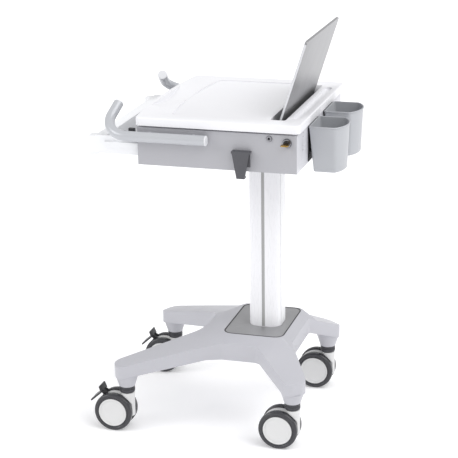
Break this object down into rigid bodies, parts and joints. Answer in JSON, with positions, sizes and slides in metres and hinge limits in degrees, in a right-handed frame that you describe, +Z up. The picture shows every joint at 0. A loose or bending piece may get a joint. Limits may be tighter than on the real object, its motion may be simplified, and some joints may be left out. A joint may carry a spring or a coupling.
{
  "type": "medication cart",
  "caption": "Mobile ward cart: a column on a wheeled cross base carries a shallow cabinet with a drawer, worktop, laptop slot, tube handles, cord hook, lock and hanging bins.",
  "frame": {"origin": "on the floor, under the centre of the cart's bounding box", "axes": "+Z up; +Y towards the rear, where the bins hang; +X to the user's right, the side with the lock and the cord hook"},
  "size_m": [0.541, 0.643, 1.0226],
  "materials": {
    "base_enamel": "light grey textured powder coat on cast aluminium",
    "brushed_plate": "brushed grey, fine straight grain",
    "bright_steel": "zinc-plated steel",
    "zinc_steel": "zinc-plated cold-rolled steel",
    "dark_plastic": "dark grey moulded nylon",
    "column_enamel": "satin white powder coat on extruded aluminium",
    "strip_grey": "grey extruded vinyl",
    "column_cover_white": "satin white extruded plastic",
    "cabinet_enamel": "smooth light grey powder coat on sheet steel",
    "worktop_white": "satin white moulded polymer",
    "drawer_white": "satin white moulded polymer",
    "handle_aluminium": "satin light silver-grey coat",
    "light_plastic": "light grey moulded plastic",
    "hook_grey": "dark grey moulded nylon",
    "lock_chrome": "bright chrome plating",
    "dark_metal": "black finish",
    "key_brass": "cut brass",
    "bin_grey": "mid grey satin moulded polymer",
    "laptop_aluminium": "brushed and anodised",
    "display_glass": "black screen surface",
    "laptop_dark": "dark grey casing",
    "caster_white": "off-white moulded nylon",
    "tyre_rubber": "dark grey non-marking thermoplastic rubber",
    "pedal_black": "black moulded nylon"
  },
  "bodies": {
    "cart_frame": {"base_casting": "base_enamel", "bin_brackets": "dark_metal", "cabinet_shell": "cabinet_enamel", "caster_sockets": "base_enamel", "caster_stems": "bright_steel", "charging_jack": "lock_chrome", "column": "column_enamel", "column_head_plate": "bright_steel", "column_rear_cover": "column_cover_white", "column_side_strips": "strip_grey", "cord_hook": "hook_grey", "fixed_slides": "zinc_steel", "handle_end_plugs": "light_plastic", "handle_left": "handle_aluminium", "handle_right": "handle_aluminium", "handle_spacers": "light_plastic", "hub_cover_plate": "brushed_plate", "laptop_base": "laptop_dark", "laptop_shelf": "cabinet_enamel", "lock_bezel": "lock_chrome", "swivel_collars": "dark_plastic", "worktop": "worktop_white"},
    "drawer": {"drawer_tray": "drawer_white", "drawer_slides": "drawer_white"},
    "laptop_screen": {"laptop_lid": "laptop_aluminium", "laptop_display": "display_glass"},
    "lock_turn": {"lock_plug": "dark_metal", "key": "key_brass"},
    "hanging_bin_right": {"bin_right": "bin_grey"},
    "hanging_bin_left": {"bin_left": "bin_grey"},
    "caster_front_right_swivel": {"caster_front_right_housing": "caster_white", "caster_front_right_guards": "dark_plastic", "caster_front_right_axle": "bright_steel"},
    "caster_front_right_wheel_right": {"caster_front_right_tyre_right": "tyre_rubber", "caster_front_right_hub_right": "caster_white"},
    "caster_front_right_wheel_left": {"caster_front_right_tyre_left": "tyre_rubber", "caster_front_right_hub_left": "caster_white"},
    "caster_front_right_brake": {"caster_front_right_pedal": "pedal_black"},
    "caster_front_left_swivel": {"caster_front_left_housing": "caster_white", "caster_front_left_guards": "dark_plastic", "caster_front_left_axle": "bright_steel"},
    "caster_front_left_wheel_right": {"caster_front_left_tyre_right": "tyre_rubber", "caster_front_left_hub_right": "caster_white"},
    "caster_front_left_wheel_left": {"caster_front_left_tyre_left": "tyre_rubber", "caster_front_left_hub_left": "caster_white"},
    "caster_front_left_brake": {"caster_front_left_pedal": "pedal_black"},
    "caster_rear_right_swivel": {"caster_rear_right_housing": "caster_white", "caster_rear_right_guards": "dark_plastic", "caster_rear_right_axle": "bright_steel"},
    "caster_rear_right_wheel_right": {"caster_rear_right_tyre_right": "tyre_rubber", "caster_rear_right_hub_right": "caster_white"},
    "caster_rear_right_wheel_left": {"caster_rear_right_tyre_left": "tyre_rubber", "caster_rear_right_hub_left": "caster_white"},
    "caster_rear_left_swivel": {"caster_rear_left_housing": "caster_white", "caster_rear_left_guards": "dark_plastic", "caster_rear_left_axle": "bright_steel"},
    "caster_rear_left_wheel_right": {"caster_rear_left_tyre_right": "tyre_rubber", "caster_rear_left_hub_right": "caster_white"},
    "caster_rear_left_wheel_left": {"caster_rear_left_tyre_left": "tyre_rubber", "caster_rear_left_hub_left": "caster_white"}
  },
  "joints": [
    {"name": "drawer_slide", "type": "slide", "parent": "cart_frame", "child": "drawer", "axis": [0, -1, 0], "range_m": [-0.131, 0.118]},
    {"name": "laptop_screen_tilt", "type": "hinge", "parent": "cart_frame", "child": "laptop_screen", "pos_m": [0, 0.1635, 0.801], "axis": [-1, 0, 0], "range_deg": [-18, 12]},
    {"name": "lock_turn", "type": "hinge", "parent": "cart_frame", "child": "lock_turn", "pos_m": [0.24, 0.2055, 0.793], "axis": [1, 0, 0], "range_deg": [0, 90]},
    {"name": "bin_right_lift", "type": "slide", "parent": "cart_frame", "child": "hanging_bin_right", "axis": [0, 0, 1], "range_m": [0, 0.005]},
    {"name": "bin_left_lift", "type": "slide", "parent": "cart_frame", "child": "hanging_bin_left", "axis": [0, 0, 1], "range_m": [0, 0.005]},
    {"name": "caster_front_right_swivel", "type": "hinge", "parent": "cart_frame", "child": "caster_front_right_swivel", "pos_m": [0.199, -0.2275, 0.101], "axis": [0, 0, 1], "continuous": true},
    {"name": "caster_front_right_wheel_right_roll", "type": "hinge", "parent": "caster_front_right_swivel", "child": "caster_front_right_wheel_right", "pos_m": [0.199, -0.2595, 0.05], "axis": [1, 0, 0], "continuous": true},
    {"name": "caster_front_right_wheel_left_roll", "type": "hinge", "parent": "caster_front_right_swivel", "child": "caster_front_right_wheel_left", "pos_m": [0.199, -0.2595, 0.05], "axis": [1, 0, 0], "continuous": true},
    {"name": "caster_front_right_brake", "type": "hinge", "parent": "caster_front_right_swivel", "child": "caster_front_right_brake", "pos_m": [0.199, -0.2775, 0.086], "axis": [1, 0, 0], "range_deg": [-15, 0]},
    {"name": "caster_front_left_swivel", "type": "hinge", "parent": "cart_frame", "child": "caster_front_left_swivel", "pos_m": [-0.199, -0.2275, 0.101], "axis": [0, 0, 1], "continuous": true},
    {"name": "caster_front_left_wheel_right_roll", "type": "hinge", "parent": "caster_front_left_swivel", "child": "caster_front_left_wheel_right", "pos_m": [-0.199, -0.2595, 0.05], "axis": [1, 0, 0], "continuous": true},
    {"name": "caster_front_left_wheel_left_roll", "type": "hinge", "parent": "caster_front_left_swivel", "child": "caster_front_left_wheel_left", "pos_m": [-0.199, -0.2595, 0.05], "axis": [1, 0, 0], "continuous": true},
    {"name": "caster_front_left_brake", "type": "hinge", "parent": "caster_front_left_swivel", "child": "caster_front_left_brake", "pos_m": [-0.199, -0.2775, 0.086], "axis": [1, 0, 0], "range_deg": [-15, 0]},
    {"name": "caster_rear_right_swivel", "type": "hinge", "parent": "cart_frame", "child": "caster_rear_right_swivel", "pos_m": [0.199, 0.2085, 0.101], "axis": [0, 0, 1], "continuous": true},
    {"name": "caster_rear_right_wheel_right_roll", "type": "hinge", "parent": "caster_rear_right_swivel", "child": "caster_rear_right_wheel_right", "pos_m": [0.199, 0.1765, 0.05], "axis": [1, 0, 0], "continuous": true},
    {"name": "caster_rear_right_wheel_left_roll", "type": "hinge", "parent": "caster_rear_right_swivel", "child": "caster_rear_right_wheel_left", "pos_m": [0.199, 0.1765, 0.05], "axis": [1, 0, 0], "continuous": true},
    {"name": "caster_rear_left_swivel", "type": "hinge", "parent": "cart_frame", "child": "caster_rear_left_swivel", "pos_m": [-0.199, 0.2085, 0.101], "axis": [0, 0, 1], "continuous": true},
    {"name": "caster_rear_left_wheel_right_roll", "type": "hinge", "parent": "caster_rear_left_swivel", "child": "caster_rear_left_wheel_right", "pos_m": [-0.199, 0.1765, 0.05], "axis": [1, 0, 0], "continuous": true},
    {"name": "caster_rear_left_wheel_left_roll", "type": "hinge", "parent": "caster_rear_left_swivel", "child": "caster_rear_left_wheel_left", "pos_m": [-0.199, 0.1765, 0.05], "axis": [1, 0, 0], "continuous": true}
  ]
}
